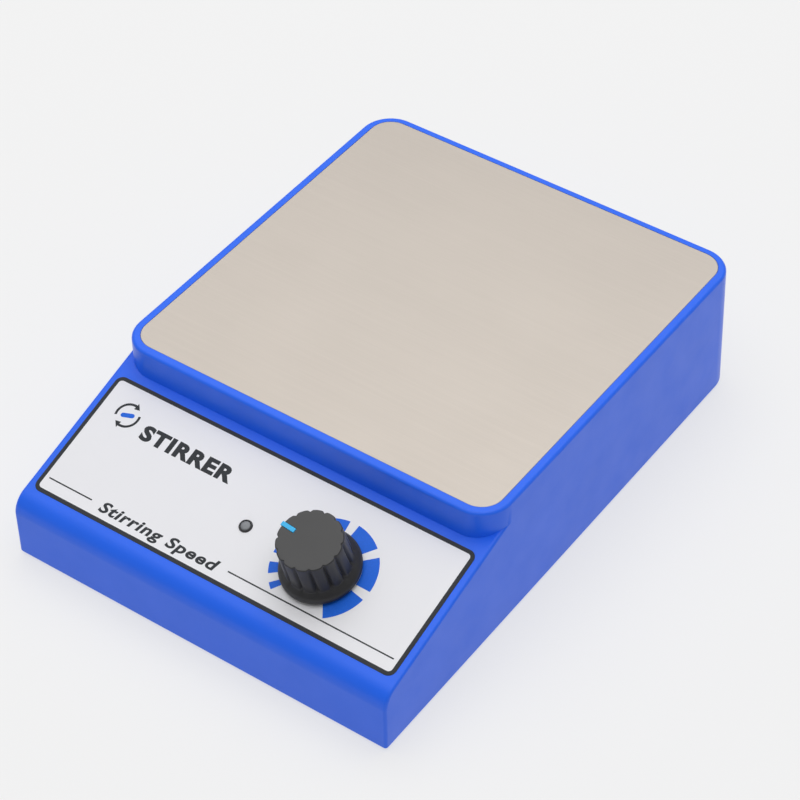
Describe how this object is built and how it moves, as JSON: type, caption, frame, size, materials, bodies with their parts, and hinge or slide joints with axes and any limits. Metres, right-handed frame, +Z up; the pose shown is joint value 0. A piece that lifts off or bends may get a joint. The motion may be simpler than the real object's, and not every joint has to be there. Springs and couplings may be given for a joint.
{
  "type": "magnetic stirrer",
  "caption": "Wedge-fronted laboratory magnetic stirrer: steel top plate over a motor-driven magnet bar, sloping panel with a fluted speed knob and a lamp.",
  "frame": {"origin": "middle of the footprint, on the table under the rubber feet", "axes": "+X to the user's right, -Y towards the user, +Z up"},
  "size_m": [0.1288, 0.1812, 0.0457],
  "materials": {
    "blue_housing_plastic": "fine moulded satin",
    "brushed_plate_steel": "fine satin",
    "white_overlay_film": "printed matt film",
    "black_plastic": "moulded",
    "knob_plastic": "moulded matt",
    "pointer_plastic": "smooth",
    "lamp_lens": "diffused lens",
    "foot_rubber": "moulded",
    "zinc_plated_steel": "bright zinc plate",
    "motor_steel": "plated",
    "polished_shaft_steel": "ground",
    "magnet_nickel": "nickel plate",
    "carrier_plastic": "moulded",
    "board_laminate": "solder mask",
    "capacitor_sleeve": "shrunk sleeve",
    "connector_plastic": "moulded",
    "red_wire": "insulation",
    "black_wire": "insulation",
    "yellow_wire": "insulation",
    "dark_overlay_ink": "printed ink",
    "blue_overlay_ink": "printed ink"
  },
  "bodies": {
    "stirrer": {"base_plate": "black_plastic", "base_screw_front_left": "zinc_plated_steel", "base_screw_front_right": "zinc_plated_steel", "base_screw_rear_left": "zinc_plated_steel", "base_screw_rear_right": "zinc_plated_steel", "bracket_screw_left": "zinc_plated_steel", "bracket_screw_right": "zinc_plated_steel", "control_connector": "connector_plastic", "control_pcb": "board_laminate", "dc_jack": "black_plastic", "dc_jack_nut": "zinc_plated_steel", "dc_jack_pin": "polished_shaft_steel", "filter_capacitor": "capacitor_sleeve", "foot_front_left": "foot_rubber", "foot_front_right": "foot_rubber", "foot_rear_left": "foot_rubber", "foot_rear_right": "foot_rubber", "housing": "blue_housing_plastic", "indicator_led": "lamp_lens", "lamp_connector": "connector_plastic", "lamp_wire_black": "black_wire", "lamp_wire_red": "red_wire", "led_bezel": "black_plastic", "motor_bracket": "zinc_plated_steel", "motor_can": "motor_steel", "motor_connector": "connector_plastic", "motor_controller_chip": "black_plastic", "motor_end_cap": "black_plastic", "motor_screw_left": "zinc_plated_steel", "motor_screw_right": "zinc_plated_steel", "motor_wire_black": "black_wire", "motor_wire_red": "red_wire", "panel_overlay": "white_overlay_film", "pcb_screw_front_left": "zinc_plated_steel", "pcb_screw_front_right": "zinc_plated_steel", "pcb_screw_rear_left": "zinc_plated_steel", "pcb_screw_rear_right": "zinc_plated_steel", "potentiometer_body": "motor_steel", "potentiometer_nut": "zinc_plated_steel", "potentiometer_washer": "zinc_plated_steel", "potentiometer_wire_black": "black_wire", "potentiometer_wire_red": "red_wire", "potentiometer_wire_yellow": "yellow_wire", "power_connector": "connector_plastic", "power_transistor": "black_plastic", "power_wire_black": "black_wire", "power_wire_red": "red_wire", "top_plate": "brushed_plate_steel"},
    "knob": {"speed_knob": "knob_plastic", "knob_pointer": "pointer_plastic", "potentiometer_shaft": "polished_shaft_steel"},
    "rotor": {"motor_shaft": "polished_shaft_steel", "magnet_carrier": "carrier_plastic", "magnet_1": "magnet_nickel", "magnet_2": "magnet_nickel"}
  },
  "joints": [
    {"name": "knob_turn", "type": "hinge", "parent": "stirrer", "child": "knob", "pos_m": [0.0267, -0.06714, 0.02793], "axis": [0, 0.2907, -0.9568], "range_deg": [-62, 235]},
    {"name": "rotor_spin", "type": "hinge", "parent": "stirrer", "child": "rotor", "pos_m": [0, 0.0238, 0], "axis": [0, 0, 1], "continuous": true}
  ]
}
